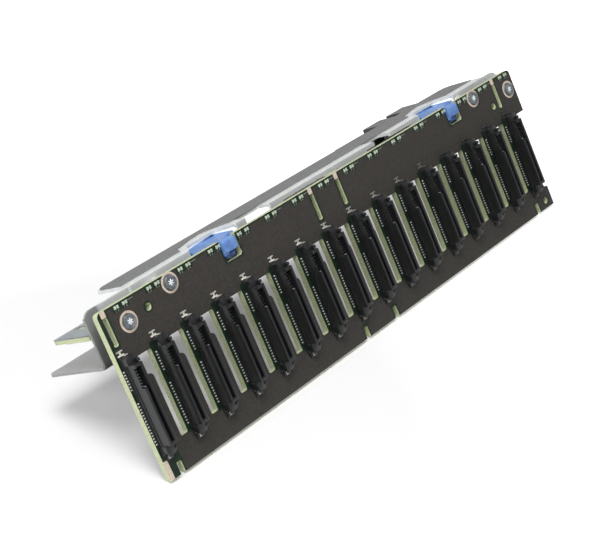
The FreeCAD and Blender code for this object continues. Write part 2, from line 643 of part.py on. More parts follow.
def expander_cover():
    """Thin steel cover on the left part of the expander board, slotted near its end."""
    x = COVER_SLOT_X
    y = COVER_SLOT_Y
    width = COVER_SLOT_WIDTH
    length = COVER_SLOT_LENGTH
    outline = top_wire([(EXPANDER_LEFT, EXPANDER_FRONT, 0), (COVER_RIGHT, EXPANDER_FRONT, 0),
                        (COVER_RIGHT, EXPANDER_REAR, 0),
                        (EXPANDER_LEFT, EXPANDER_REAR, EXPANDER_CORNER_R)], EXPANDER_TOP)
    slot = top_wire([(x, y, 0), (x + width, y, 0), (x + width, y + length, 0),
                     (x, y + length, 0)], EXPANDER_TOP)
    return plate_from(outline, [slot], V(0, 0, COVER_THICK))


def expander_posts():
    height = EXPANDER_BOTTOM - SHELF_TOP
    return Part.makeCompound([hexagon(V(x, y, SHELF_TOP), V(0, 0, 1), STANDOFF_ACROSS, height)
                              for x, y in POST_PLACES])


def bridge_connector(left, width):
    """Header on the back of the main board and the socket it enters on the expander board."""
    top = EXPANDER_TOP + BRIDGE_HEIGHT
    joint = BOARD_THICK + BRIDGE_HEADER_DEPTH
    header = box(left, left + width, BOARD_THICK, joint, EXPANDER_TOP, top)
    rear = EXPANDER_FRONT + BRIDGE_SOCKET_DEPTH
    lip = BRIDGE_LIP
    socket = box(left + lip, left + width - lip, joint, rear, EXPANDER_TOP, top - lip)
    return Part.makeCompound([header, socket])


def cable_connector(left):
    """A cable receptacle at the rear edge, open to the back."""
    right = left + CABLE_WIDTH
    top = EXPANDER_TOP + CABLE_HEIGHT
    body = box(left, right, CABLE_FRONT, CABLE_REAR, EXPANDER_TOP, top)
    w = CABLE_WALL
    mouth = box(left + w, right - w, CABLE_REAR - CABLE_MOUTH_DEPTH, CABLE_REAR + 1,
                EXPANDER_TOP + w, top - w)
    return body.cut(mouth)


def power_connector():
    top = EXPANDER_TOP + POWER_HEIGHT
    body = box(POWER_LEFT, POWER_LEFT + POWER_WIDTH, POWER_FRONT, POWER_FRONT + POWER_DEPTH,
               EXPANDER_TOP, top)
    middle_x = POWER_LEFT + POWER_WIDTH / 2
    middle_z = (EXPANDER_TOP + top) / 2
    half = POWER_HOLE / 2
    holes = []
    for i in range(POWER_COLUMNS):
        for j in range(POWER_ROWS):
            x = middle_x + POWER_HOLE_PITCH * (i - (POWER_COLUMNS - 1) / 2)
            z = middle_z + POWER_ROW_PITCH * (j - (POWER_ROWS - 1) / 2)
            holes.append(box(x - half, x + half, POWER_FRONT + POWER_FLOOR, REACH, z - half, z + half))
    return body.cut(holes)


def chip_block(height, top):
    return box(CHIP_LEFT, CHIP_LEFT + CHIP_WIDTH, CHIP_FRONT, CHIP_FRONT + CHIP_DEPTH, top - height,
               top)


def expander_chip():
    return chip_block(CHIP_HEIGHT, EXPANDER_BOTTOM)


def heat_sink():
    """Finned block under the chip, its fins running front to back."""
    top = EXPANDER_BOTTOM - CHIP_HEIGHT
    base = chip_block(SINK_BASE, top)
    fins = []
    step = (CHIP_WIDTH - SINK_FIN) / (SINK_FINS - 1)
    for i in range(SINK_FINS):
        x = CHIP_LEFT + step * i
        fins.append(box(x, x + SINK_FIN, CHIP_FRONT, CHIP_FRONT + CHIP_DEPTH,
                        top - SINK_BASE - SINK_FIN_HEIGHT, top - SINK_BASE))
    return base.fuse(fins).removeSplitter()


def export(name, shape):
    shape.translate(-ORIGIN)
    shape.exportStep("parts/" + name + ".step")


def moved(shape, offset):
    copy = shape.copy()
    copy.translate(V(offset, 0, 0))
    return copy


def main():
    os.makedirs("parts", exist_ok=True)
    export("main_board", main_board())
    housing = connector_housing()
    contacts = connector_contacts()
    for k in range(CONNECTOR_COUNT):
        number = "%02d" % (k + 1)
        export("drive_connector_" + number, moved(housing, PITCH * k))
        export("connector_contacts_" + number, moved(contacts, PITCH * k))
    export("hold_down_clips", hold_down_clips())
    export("status_indicators", status_indicators())
    export("board_screws", board_screws())
    export("board_standoffs", board_standoffs())
    export("steel_bracket", steel_bracket())
    export("top_sheet", top_sheet())
    export("expander_board", expander_board())
    export("expander_cover", expander_cover())
    export("expander_posts", expander_posts())
    for i, side in enumerate(("left", "right")):
        shift = TAB_SPACING * i
        export("release_tab_" + side, moved(release_tab(), shift))
        export("pivot_pin_" + side, moved(pivot_pin(), shift))
        export("return_spring_" + side, moved(return_spring(), shift))
        left, width = BRIDGE_PLACES[i]
        export("bridge_connector_" + side, bridge_connector(left, width))
        export("cable_connector_" + side, cable_connector(CABLE_PLACES[i]))
    export("power_connector", power_connector())
    export("expander_chip", expander_chip())
    export("heat_sink", heat_sink())


main()
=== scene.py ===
# %% [markdown]
# # Drive backplane board
# A drive backplane is the upright circuit board behind a row of storage drives: each drive slides
# onto one of its sixteen connectors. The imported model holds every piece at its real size, so the
# first step loads it as a fixed frame. The later steps add what solids leave out: finishes, small
# moulded detail, printed layers, a floor, light and a camera.

# %% Load the frame
import math

import bpy
from mathutils import Matrix, Vector


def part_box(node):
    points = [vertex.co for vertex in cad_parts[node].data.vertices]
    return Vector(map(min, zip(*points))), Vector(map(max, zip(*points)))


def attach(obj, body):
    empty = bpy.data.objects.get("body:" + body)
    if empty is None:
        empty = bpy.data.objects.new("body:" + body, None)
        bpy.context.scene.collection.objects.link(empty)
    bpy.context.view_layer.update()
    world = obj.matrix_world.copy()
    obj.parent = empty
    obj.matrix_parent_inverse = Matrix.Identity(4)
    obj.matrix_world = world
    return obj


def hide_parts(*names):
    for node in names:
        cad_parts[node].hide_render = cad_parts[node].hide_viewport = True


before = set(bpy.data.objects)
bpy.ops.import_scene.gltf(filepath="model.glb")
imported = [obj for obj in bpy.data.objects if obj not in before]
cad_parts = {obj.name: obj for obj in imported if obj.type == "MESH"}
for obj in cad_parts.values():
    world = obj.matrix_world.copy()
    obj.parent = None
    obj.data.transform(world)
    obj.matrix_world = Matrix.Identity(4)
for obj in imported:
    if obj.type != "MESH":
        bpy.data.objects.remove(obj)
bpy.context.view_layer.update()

MM = 0.001
ROOT = "backplane"
BOARD_LO, BOARD_HI = [Vector(corner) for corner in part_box("main_board")]
print("board", [round(v / MM, 2) for v in BOARD_HI - BOARD_LO], "mm")

# %% [markdown]
# Lengths below are millimetres from the board's lower left front corner: x along the board, y
# towards the back and z up. One helper turns them into the frame's metres. The sixteen connectors
# stand one pitch apart, so the pitch is read from the first two of them. Typing it in would do
# too, but then it could disagree with the frame.

# %% Places on the board
CONNECTORS = 16
PITCH = (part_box("drive_connector_02")[0][0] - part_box("drive_connector_01")[0][0]) / MM
HIGH = (BOARD_HI.z - BOARD_LO.z) / MM
LONG = (BOARD_HI.x - BOARD_LO.x) / MM


def at(x, y, z):
    return Vector((BOARD_LO.x + x * MM, BOARD_LO.y + y * MM, BOARD_LO.z + z * MM))


print("pitch", round(PITCH, 2), "mm")

# %% [markdown]
# Operators act on whatever is selected, so each helper first deselects everything. By hand you
# would click on faces; here they are picked by their place or by the way they point.

# %% Selecting
def select_only(*objects):
    if bpy.context.object and bpy.context.object.mode != "OBJECT":
        bpy.ops.object.mode_set(mode="OBJECT")
    bpy.ops.object.select_all(action="DESELECT")
    for one in objects:
        one.select_set(True)
    bpy.context.view_layer.objects.active = objects[0]


def pick_faces(obj, wanted):
    """Enters edit mode with only the faces selected for which wanted(face) is true."""
    select_only(obj)
    bpy.ops.object.mode_set(mode="EDIT")
    bpy.ops.mesh.select_mode(type="FACE")
    bpy.ops.mesh.select_all(action="DESELECT")
    bpy.ops.object.mode_set(mode="OBJECT")
    chosen = [face for face in obj.data.polygons if wanted(face)]
    for face in chosen:
        face.select = True
    bpy.ops.object.mode_set(mode="EDIT")
    return len(chosen)


print("nodes in the frame", len(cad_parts))

# %% [markdown]
# New pieces start as a cube or a cylinder at their place. Its size is applied at once, so that
# the finished mesh lies in the frame's own coordinates and patterns on it don't slide or stretch.

# %% Starting shapes
def settle(obj):
    """Puts the object's place, turn and size into its mesh."""
    select_only(obj)
    bpy.ops.object.transform_apply(location=True, rotation=True, scale=True)
    return obj


def block(name, x0, x1, y0, y1, z0, z1):
    bpy.ops.object.select_all(action="DESELECT")
    low = at(x0, y0, z0)
    high = at(x1, y1, z1)
    bpy.ops.mesh.primitive_cube_add(size=1, location=(low + high) / 2)
    obj = bpy.context.object
    obj.name = name
    obj.scale = high - low
    return settle(obj)


def disc(name, x, z, radius, y0, y1, sides=32):
    """A round plate on the board's front, from depth y0 to y1."""
    bpy.ops.object.select_all(action="DESELECT")
    bpy.ops.mesh.primitive_cylinder_add(vertices=sides, radius=radius * MM, depth=(y1 - y0) * MM,
                                        location=at(x, (y0 + y1) / 2, z),
                                        rotation=(math.pi / 2, 0, 0))
    obj = bpy.context.object
    obj.name = name
    return settle(obj)


print("lengths start from", [round(v, 4) for v in at(0, 0, 0)], "m")

# %% [markdown]
# Blocks are joined into one piece, cut with a Boolean and rounded with a Bevel. Each modifier is
# applied at once: a live one would be slower to draw, and the next step needs its real edges.

# %% Joining and modifiers
def joined(name, pieces):
    select_only(*pieces)
    if len(pieces) > 1:
        bpy.ops.object.join()
    obj = bpy.context.object
    obj.name = name
    obj.data.name = name
    return obj


def apply_modifier(obj, kind, **settings):
    select_only(obj)
    modifier = obj.modifiers.new(kind.lower(), kind)
    for key, value in settings.items():
        setattr(modifier, key, value)
    bpy.ops.object.modifier_apply(modifier=modifier.name)
    return obj


def bevelled(obj, width, segments=2, angle=35):
    return apply_modifier(obj, "BEVEL", width=width * MM, segments=segments,
                          limit_method="ANGLE", angle_limit=math.radians(angle),
                          harden_normals=False)


def cut(obj, cutter, operation="DIFFERENCE"):
    apply_modifier(obj, "BOOLEAN", object=cutter, operation=operation, solver="EXACT",
                   use_self=True)
    bpy.data.objects.remove(cutter)
    return obj


def smooth(obj, angle=30):
    select_only(obj)
    bpy.ops.object.shade_smooth_by_angle(angle=math.radians(angle))
    return obj


print("a width of 0.1 is", 0.1 * MM, "m to a modifier")

# %% [markdown]
# Where the frame's own shape is right but needs finer edges, a copy of its mesh is the start. The
# copy's loose triangles are merged back into flat faces, which a bevel can work on. What repeats
# is modelled once and copied, each copy with a mesh of its own.

# %% Copies and bodies
SAME_POINT = 0.000001


def merged_copy(node, name):
    """A copy of a frame node's mesh, its loose triangles merged back into flat faces."""
    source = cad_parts[node]
    obj = bpy.data.objects.new(name, source.data.copy())
    bpy.context.scene.collection.objects.link(obj)
    obj.data.materials.clear()
    select_only(obj)
    if obj.data.has_custom_normals:
        bpy.ops.mesh.customdata_custom_splitnormals_clear()
    bpy.ops.object.mode_set(mode="EDIT")
    bpy.ops.mesh.select_all(action="SELECT")
    bpy.ops.mesh.remove_doubles(threshold=SAME_POINT)
    bpy.ops.mesh.dissolve_limited(angle_limit=math.radians(1))
    bpy.ops.object.mode_set(mode="OBJECT")
    return obj


def copy_along(obj, name, shift_x):
    twin = obj.copy()
    twin.data = obj.data.copy()
    twin.name = name
    twin.data.name = name
    twin.data.transform(Matrix.Translation((shift_x * MM, 0, 0)))
    bpy.context.scene.collection.objects.link(twin)
    return twin


def row_of(first, stem):
    """The first connector's piece and its fifteen copies along the board."""
    return [first] + [copy_along(first, "%s_%02d" % (stem, k + 1), PITCH * k)
                      for k in range(1, CONNECTORS)]


def wear(obj, material, body=ROOT, replaces=()):
    """Gives a piece its finish, the body it rides on and the frame nodes it stands for."""
    obj.data.materials.clear()
    obj.data.materials.append(material)
    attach(obj, body)
    if replaces:
        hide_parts(*replaces)
    return obj


print("board triangles before merging", len(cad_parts["main_board"].data.polygons))

# %% [markdown]
# Every finish is built from nodes, with its colours written as screen values from 0 to 255 and
# turned to the linear light that shaders use. A fine noise varies colour and bump, because no
# real surface is one flat tone. A painted texture would do too, but noise needs no file and has no
# seams.

# %% Finish helper
DARK_END = 0.35
LIGHT_END = 0.65
BUMP_HEIGHT = 0.0002


def tone(r, g, b):
    linear = []
    for value in (r, g, b):
        share = value / 255
        linear.append(share / 12.92 if share <= 0.04045 else ((share + 0.055) / 1.055) ** 2.4)
    return (*linear, 1)


def node_of(tree, kind, **inputs):
    node = tree.nodes.new(kind)
    for key, value in inputs.items():
        node.inputs[key.replace("_", " ")].default_value = value
    return node


def finish_of(name, dark, light, rough=0.5, metal=0.0, scale=400, grain=0.0, coat=0.0,
              specular=0.5, stretch=(1, 1, 1)):
    """A procedural finish: noise between two tones, with bump of the given strength."""
    material = bpy.data.materials.new(name)
    material.use_nodes = True
    tree = material.node_tree
    shader = tree.nodes["Principled BSDF"]
    shader.inputs["Roughness"].default_value = rough
    shader.inputs["Metallic"].default_value = metal
    shader.inputs["Coat Weight"].default_value = coat
    shader.inputs["Specular IOR Level"].default_value = specular
    place = tree.nodes.new("ShaderNodeTexCoord")
    mapping = node_of(tree, "ShaderNodeMapping", Scale=stretch)
    noise = node_of(tree, "ShaderNodeTexNoise", Scale=scale, Detail=4.0)
    ramp = tree.nodes.new("ShaderNodeValToRGB")
    ramp.color_ramp.elements[0].position = DARK_END
    ramp.color_ramp.elements[1].position = LIGHT_END
    ramp.color_ramp.elements[0].color = dark
    ramp.color_ramp.elements[1].color = light
    tree.links.new(place.outputs["Object"], mapping.inputs["Vector"])
    tree.links.new(mapping.outputs["Vector"], noise.inputs["Vector"])
    tree.links.new(noise.outputs["Fac"], ramp.inputs["Fac"])
    tree.links.new(ramp.outputs["Color"], shader.inputs["Base Color"])
    if grain:
        bump = node_of(tree, "ShaderNodeBump", Strength=grain, Distance=BUMP_HEIGHT)
        tree.links.new(noise.outputs["Fac"], bump.inputs["Height"])
        tree.links.new(bump.outputs["Normal"], shader.inputs["Normal"])
    return material


print("screen value 128 is", round(tone(128, 128, 128)[0], 3), "in linear light")

# %% [markdown]
# The circuit board's own finishes: a dark grey-brown overprint on green solder mask, pale cut
# edges of epoxy glass, bare copper pads and tinned contacts.

# %% Board finishes
OVERPRINT = finish_of("overprint_grey", tone(57, 54, 51), tone(65, 62, 58), rough=0.5, scale=900,
                      grain=0.04, specular=0.3)
MASK = finish_of("solder_mask_green", tone(8, 30, 18), tone(18, 46, 28), rough=0.4, scale=700,
                 coat=0.1)
GLASS_EDGE = finish_of("epoxy_glass_edge", tone(182, 189, 147), tone(210, 216, 180), rough=0.6,
                       scale=1500, grain=0.1)
COPPER = finish_of("plated_copper", tone(222, 202, 184), tone(240, 224, 206), rough=0.3,
                   metal=0.2, scale=1200)
TIN = finish_of("tinned_metal", tone(242, 242, 234), tone(252, 252, 246), rough=0.25, metal=0.1,
                scale=2500)
LED_BODY = finish_of("indicator_body", tone(120, 160, 112), tone(176, 204, 164), rough=0.4,
                     scale=2500)
LED_END = finish_of("indicator_end", tone(186, 196, 178), tone(226, 232, 216), rough=0.3,
                    metal=0.1, scale=2500)
CHIP = finish_of("chip_package", tone(20, 20, 21), tone(30, 30, 32), rough=0.5, scale=2000,
                 grain=0.05)
print("board finishes", len(bpy.data.materials))

# %% [markdown]
# The metal and plastic pieces: steel clips and screws, zinc plate, an aluminium heat sink, black
# and blue mouldings and a textured insulating sheet. None of the metals is fully metallic in the
# shader: in a plain pale room a thin plated part looks more like pale paint than like a mirror.

# %% Metal and plastic finishes
CLIP_STEEL = finish_of("clip_steel", tone(220, 218, 208), tone(246, 244, 234), rough=0.3,
                       metal=0.6, scale=1500)
SCREW_STEEL = finish_of("screw_zinc", tone(124, 134, 142), tone(160, 168, 174), rough=0.3,
                        metal=0.7, scale=700)
# Painted highlight: plain white for the light that the screws' driver recesses mirror.
PAINTED_RECESS_GLINT = finish_of("recess_painted_highlight", tone(244, 248, 252), tone(255, 255, 255), rough=0.3,
                         scale=1500)
ZINC = finish_of("zinc_plate", tone(222, 224, 222), tone(242, 243, 240), rough=0.3, metal=0.45,
                 scale=260, grain=0.02)
BRACKET_ZINC = finish_of("bracket_zinc", tone(229, 232, 231), tone(240, 242, 241), rough=0.3,
                         metal=0.4, scale=260, grain=0.006)
# The expander cover's steel is painted darker than the zinc as painted shade: it lies under the
# shelf and the sheet.
SHADED_COVER_STEEL = finish_of("cover_steel", tone(140, 148, 152), tone(152, 160, 163), rough=0.35,
                        metal=0.6, scale=300, grain=0.006)
ALUMINIUM = finish_of("heat_sink_aluminium", tone(150, 152, 154), tone(186, 188, 190), rough=0.4,
                      metal=0.9, scale=500, stretch=(1, 8, 8))
BLACK = finish_of("black_moulding", tone(9, 10, 12), tone(19, 21, 25), rough=0.34, scale=1800,
                  grain=0.05, specular=1.0)
BLUE = finish_of("blue_moulding", tone(90, 128, 192), tone(116, 154, 212), rough=0.42, scale=300,
                 grain=0.03, specular=0.5)
# A darker copy of the blue: painted shade for the finger lips under the tongues.
SHADED_BLUE = finish_of("shaded_blue", tone(38, 60, 112), tone(72, 106, 166), rough=0.42,
                        scale=700, specular=0.5)
SHEET = finish_of("insulating_sheet", tone(98, 98, 99), tone(142, 142, 143), rough=0.8,
                  scale=2600, grain=0.5)
print("finishes in all", len(bpy.data.materials))

# %% [markdown]
# Plated metal mirrors its room, and this room is plain white. So a darker surrounding is painted
# in: the bracket's zinc darkens towards its foot and again on its plate's left end, and the clips
# darken along the board. Each shade is a factor that fades along one object axis and multiplies
# the base colour. A second material would do the same with a hard border.

# %% Painted shade
def fading(tree, parts, axis, low, high, share):
    """A factor that is share below low and rises to 1 at high, along one axis."""
    level = node_of(tree, "ShaderNodeMapRange", From_Min=low, From_Max=high, To_Min=share,
                    To_Max=1.0)
    tree.links.new(parts.outputs[axis], level.inputs["Value"])
    return level.outputs["Result"]


def joined_by(tree, operation, first, second):
    node = tree.nodes.new("ShaderNodeMath")
    node.operation = operation
    tree.links.new(first, node.inputs[0])
    tree.links.new(second, node.inputs[1])
    return node.outputs["Value"]


def own_place(tree):
    """The three object coordinates, apart."""
    place = tree.nodes.new("ShaderNodeTexCoord")
    parts = tree.nodes.new("ShaderNodeSeparateXYZ")
    tree.links.new(place.outputs["Object"], parts.inputs["Vector"])
    return parts


def scale_colour(material, factor):
    """Multiplies the base colour of a finish by a factor socket."""
    tree = material.node_tree
    shader = tree.nodes["Principled BSDF"]
    source = shader.inputs["Base Color"].links[0].from_socket
    product = tree.nodes.new("ShaderNodeMix")
    product.data_type = "RGBA"
    product.blend_type = "MULTIPLY"
    product.inputs["Factor"].default_value = 1
    colour_a, colour_b = [one for one in product.inputs if one.type == "RGBA"]
    colour = [one for one in product.outputs if one.type == "RGBA"][0]
    tree.links.new(source, colour_a)
    tree.links.new(factor, colour_b)
    tree.links.new(colour, shader.inputs["Base Color"])
    return material


print("finishes shade from", round(at(0, 0, 0).z, 4), "to", round(at(0, 0, HIGH).z, 4), "m")

# %% [markdown]
# The heights and lengths of the two shades are millimetres on the board, like all others.

# %% Shaded bracket and clips
SHADE_BELOW = HIGH - 24
BRIGHT_ABOVE = HIGH - 1
SHADE_SHARE = 0.36
END_LENGTH = 7
END_FADE = 8.5
PLATE_BACK = 9.9
PLATE_FADE = 11
END_SHARE = 0.46
CLIP_BRIGHT_TO = 95
CLIP_DARK_FROM = 215
CLIP_DARK_SHARE = 0.1

# Painted shade on the bracket's zinc: darker towards its foot and on its plate's left end.
tree = BRACKET_ZINC.node_tree
parts = own_place(tree)
depth = fading(tree, parts, "Z", at(0, 0, SHADE_BELOW).z, at(0, 0, BRIGHT_ABOVE).z, SHADE_SHARE)
end = fading(tree, parts, "X", at(END_LENGTH, 0, 0).x, at(END_FADE, 0, 0).x, END_SHARE)
plate = fading(tree, parts, "Y", at(0, PLATE_BACK, 0).y, at(0, PLATE_FADE, 0).y, END_SHARE)
plate_end = joined_by(tree, "MAXIMUM", end, plate)
scale_colour(BRACKET_ZINC, joined_by(tree, "MULTIPLY", depth, plate_end))

# Painted reflection on the clips: their colour darkens along the board.
tree = CLIP_STEEL.node_tree
along = fading(tree, own_place(tree), "X", at(CLIP_DARK_FROM, 0, 0).x,
               at(CLIP_BRIGHT_TO, 0, 0).x, CLIP_DARK_SHARE)
scale_colour(CLIP_STEEL, along)
print("shaded", BRACKET_ZINC.name, "and", CLIP_STEEL.name)

# %% [markdown]
# The board itself is the frame's own solid. Its routed slots get the small corner radius of the
# milling cutter from a bevel on the upright edges inside its outline. An edge between two flat
# faces must stay, so only edges are taken where the two faces turn by more than a set angle. The
# cut edges show pale epoxy glass: faces are sorted by the way they point.

# %% Main board
CUTTER_R = 0.8
CORNER_TURN = 30
MIN_DEPTH = 2.5
BORDER = 0.5


def edge_turns(mesh):
    """For each edge between two faces, the angle in degrees by which they turn."""
    sides = {}
    for face in mesh.polygons:
        for key in face.edge_keys:
            sides.setdefault(tuple(sorted(key)), []).append(face.normal)
    return {key: math.degrees(pair[0].angle(pair[1])) for key, pair in sides.items()
            if len(pair) == 2}


def board_body():
    body = merged_copy("main_board", "board_body")
    mesh = body.data
    turns = edge_turns(mesh)
    bpy.ops.object.mode_set(mode="EDIT")
    bpy.ops.mesh.select_mode(type="EDGE")
    bpy.ops.mesh.select_all(action="DESELECT")
    bpy.ops.object.mode_set(mode="OBJECT")
    low = at(BORDER, 0, BORDER)
    high = at(LONG - BORDER, 0, HIGH - BORDER)
    for edge in mesh.edges:
        a, b = [mesh.vertices[i].co for i in edge.vertices]
        upright = abs(a.y - b.y) > MIN_DEPTH * MM
        inside = low.x < a.x < high.x and low.z < a.z < high.z
        sharp = turns.get(tuple(sorted(edge.vertices)), 0) > CORNER_TURN
        edge.select = upright and inside and sharp
    bpy.ops.object.mode_set(mode="EDIT")
    bpy.ops.mesh.bevel(offset=CUTTER_R * MM, segments=4, affect="EDGES", clamp_overlap=True)
    bpy.ops.object.mode_set(mode="OBJECT")
    return smooth(body)


board = board_body()
wear(board, MASK, replaces=["main_board"])
board.data.materials.append(GLASS_EDGE)
for face in board.data.polygons:
    if abs(face.normal.y) < 0.5:
        face.material_index = 1
print("board faces", len(board.data.polygons))

# %% [markdown]
# The front is printed over in dark grey, with the green mask left open along the edges, beside
# the contact rows and under the indicators. First come the places of what the windows go round:
# indicators, pads, slots, notches, screws and guide holes. Later steps need them too.

# %% Places of the windows
LED_X = (9.93, 14.48)
PAD_SLOT_LEFT = 1.8
PAD_SLOTS = tuple(PAD_SLOT_LEFT + PITCH * column for column in (0, 7, 8, 15))
PAD_SLOT_WIDTH = 2.3
PAD_SLOT_BOTTOM = 57.2
PAD_SLOT_TOP = 69.4
NOTCHES = (5.6, 125.5, 146.8, 267.1)
NOTCH_WIDTH = 2.6
TAB_SPACING = PITCH * 9
TAB_NOTCH = (69.1, 78.9, 62.75)
SCREWS = ((12.8, 63.3), (38.3, 68.2), (251.9, 68.7), (280.1, 63.3))
GUIDES = ((23.9, 64.4), (264.7, 59.7), (276.3, 3.7))
print("pad slots at", [round(left, 1) for left in PAD_SLOTS])

# %% [markdown]
# The print is a very thin plate cut from the board's own outline, so it follows every slot and
# notch; one joined cutter opens all the green windows. A mask in the material would show the
# same, but a printed layer has an edge that catches the light.

# %% Overprint
PRINT_THICK = 0.04
OUT = 1
SLAB_OUT = 5
LEFT_STRIP = 1.2
TOP_STRIP = 0.7
CORNER_WINDOW = (9.0, 8.4)
ROW_WINDOW = (-0.9, 2.2, 12.3, 52.0)
LED_WINDOW_SIDE = 2.1
LED_WINDOW_LOW = 69.0
SLOT_MARGIN = 0.9
NOTCH_WINDOW_TOP = 6.2
TAB_MARGIN = 0.8
GUIDE_WINDOW_R = 2.4


def window(x0, x1, z0, z1):
    return block("window", x0, x1, -OUT, OUT, z0, z1)


def column_windows(x):
    """The windows beside one connector's contacts and under its pair of indicators."""
    left, right, low, high = ROW_WINDOW
    return [window(x + left, x + right, low, high),
            window(x + LED_X[0] - LED_WINDOW_SIDE, x + LED_X[1] + LED_WINDOW_SIDE,
                   LED_WINDOW_LOW, HIGH + OUT)]


def all_windows():
    windows = [window(-OUT, LEFT_STRIP, -OUT, HIGH + OUT),
               window(-OUT, LONG + OUT, HIGH - TOP_STRIP, HIGH + OUT),
               window(-OUT, CORNER_WINDOW[0], -OUT, CORNER_WINDOW[1])]
    for k in range(CONNECTORS):
        windows += column_windows(PITCH * k)
    for left in PAD_SLOTS:
        windows.append(window(left - SLOT_MARGIN, left + PAD_SLOT_WIDTH + SLOT_MARGIN,
                              PAD_SLOT_BOTTOM - SLOT_MARGIN, HIGH + OUT))
    for left in NOTCHES:
        windows.append(window(left - SLOT_MARGIN, left + NOTCH_WIDTH + SLOT_MARGIN, -OUT,
                              NOTCH_WINDOW_TOP))
    left, right, bottom = TAB_NOTCH
    for shift in (0, TAB_SPACING):
        windows.append(window(left + shift - TAB_MARGIN, right + shift + TAB_MARGIN,
                              bottom - TAB_MARGIN, HIGH + OUT))
    for x, z in GUIDES:
        windows.append(disc("window", x, z, GUIDE_WINDOW_R, -OUT, OUT))
    return windows


def overprint():
    body = bpy.data.objects.new("board_overprint", board.data.copy())
    bpy.context.scene.collection.objects.link(body)
    body.data.transform(Matrix.Translation((0, -PRINT_THICK * MM, 0)))
    slab = block("slab", -SLAB_OUT, LONG + SLAB_OUT, -OUT, 0, -SLAB_OUT, HIGH + SLAB_OUT)
    cut(body, slab, "INTERSECT")
    return cut(body, joined("windows", all_windows()))


print_layer = overprint()
wear(print_layer, OVERPRINT)
print("overprint faces", len(print_layer.data.polygons))

# %% [markdown]
# Bare copper shows at the edge pads, which are thin etched plates with their edges bevelled, and
# as a ring round each screw. A ring starts as a disc; its front face is inset and sunk, which
# leaves a broad raised rim. A torus would be round in section, as no etched ring is.

# %% Copper pads and rings
COPPER_THICK = 0.08
CORNER_PAD = (0.02, 2.2, 0.02, 8.2)
PAD_OVERLAP = 0.1
PAD_TOP_GAP = 0.02
RING_R = 4.35
RING_RIM = 1.0
RING_SUNK = 0.04
ROUND = 48
FLAT = 0.002


def sunk_front(obj, inset, depth):
    """Insets the face that looks to the front and moves its inner part back by depth."""
    foremost = min(face.center.y for face in obj.data.polygons)
    pick_faces(obj, lambda face: face.center.y < foremost + FLAT * MM)
    bpy.ops.mesh.inset(thickness=inset * MM, depth=0)
    bpy.ops.transform.translate(value=(0, depth * MM, 0))
    bpy.ops.object.mode_set(mode="OBJECT")
    return obj


left, right, low, high = CORNER_PAD
pads = [block("pad", left, right, -COPPER_THICK, 0, low, high)]
for left in PAD_SLOTS:
    pads.append(block("pad", left - PAD_OVERLAP, left + PAD_SLOT_WIDTH, -COPPER_THICK, 0,
                      PAD_SLOT_TOP, HIGH - PAD_TOP_GAP))
for pad in pads:
    bevelled(pad, 0.03, 1)
rings = [sunk_front(disc("ring", x, z, RING_R, -COPPER_THICK, 0, ROUND), RING_RIM, RING_SUNK)
         for x, z in SCREWS]
copper = joined("copper_pads", pads + rings)
wear(copper, COPPER)
print("copper pads", len(pads), "and rings", len(rings))

# %% [markdown]
# Inside each ring lie a thin plated washer, which shows as the rim of the screw's head, and a
# plate of overprint that leaves a fine dark line between washer and copper. A value whose name
# ends in DEEP holds two depths, the front one and the back one.

# %% Washers
WASHER_R = 3.2
WASHER_DEEP = (-0.6, -0.03)
WASHER_RIM = 0.25
WASHER_SUNK = 0.15
GAP_PLAY = 0.02
PLATING_DEEP = (-0.06, -0.01)


def washer(x, z):
    plate = disc("washer", x, z, WASHER_R, *WASHER_DEEP, ROUND)
    return bevelled(sunk_front(plate, WASHER_RIM, WASHER_SUNK), 0.05, 2)


def gap(x, z):
    plate = disc("gap", x, z, RING_R - RING_RIM - GAP_PLAY, *PLATING_DEEP, ROUND)
    return sunk_front(plate, 0.1, 0.01)


wear(joined("screw_washers", [washer(x, z) for x, z in SCREWS]), SCREW_STEEL)
wear(joined("mask_gaps", [gap(x, z) for x, z in SCREWS]), OVERPRINT)
print("washers", len(SCREWS))

# %% [markdown]
# Each drive connector is a black moulding. Its tower, keyed slot and ledge come from the frame's
# solid. Notches are cut at the signal contacts; teeth between the solder tails, a skirt along
# them, two small ears and a base at the lower end are added, all in one connector, which is then
# copied. A box here is left, right, front, back, low and high.

# %% Connector housing
CONTACT_PITCH = 1.27
SIGNAL_Z = [47.26 - CONTACT_PITCH * i for i in range(7)]
POWER_Z = [33.64 - CONTACT_PITCH * i for i in range(15)]
CLIP_FOOT = (1.1, 4.3, 53.25, 55.45)
LOW_END = (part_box("drive_connector_01")[0][2] - BOARD_LO.z) / MM
NOTCH = (1.8, 3.3, -7.2, -5.2)
NOTCH_UNDER = 0.45
NOTCH_OVER = 0.35
UPPER_EAR = (5.2, 6.7, -5.4, -3.2, 49.3, 50.7)
LOWER_EAR = (5.2, 6.5, -4.6, -2.8, 11.6, 12.8)
LOWER_BASE = (1.7, 5.4, -0.8, 0, LOW_END - 2.3, LOW_END + 0.4)
SKIRT = (1.0, 1.9, -0.9, 0, LOW_END + 0.2, CLIP_FOOT[2] - 0.05)
TOOTH = (0.62, 1.3, -0.7, 0)
TOOTH_FREE = 0.32


def housing():
    body = merged_copy("drive_connector_01", "connector_housing_01")
    notches = [block("notch", *NOTCH, z - NOTCH_UNDER, z + NOTCH_OVER) for z in SIGNAL_Z]
    cut(body, joined("notches", notches))
    added = [block("ear", *UPPER_EAR), block("ear", *LOWER_EAR), block("base", *LOWER_BASE),
             block("skirt", *SKIRT)]
    added += [block("tooth", *TOOTH, z + TOOTH_FREE, z + CONTACT_PITCH - TOOTH_FREE)
              for z in SIGNAL_Z[1:] + POWER_Z[1:]]
    body = joined("connector_housing_01", [body] + added)
    bevelled(body, 0.12, 2)
    return smooth(body)


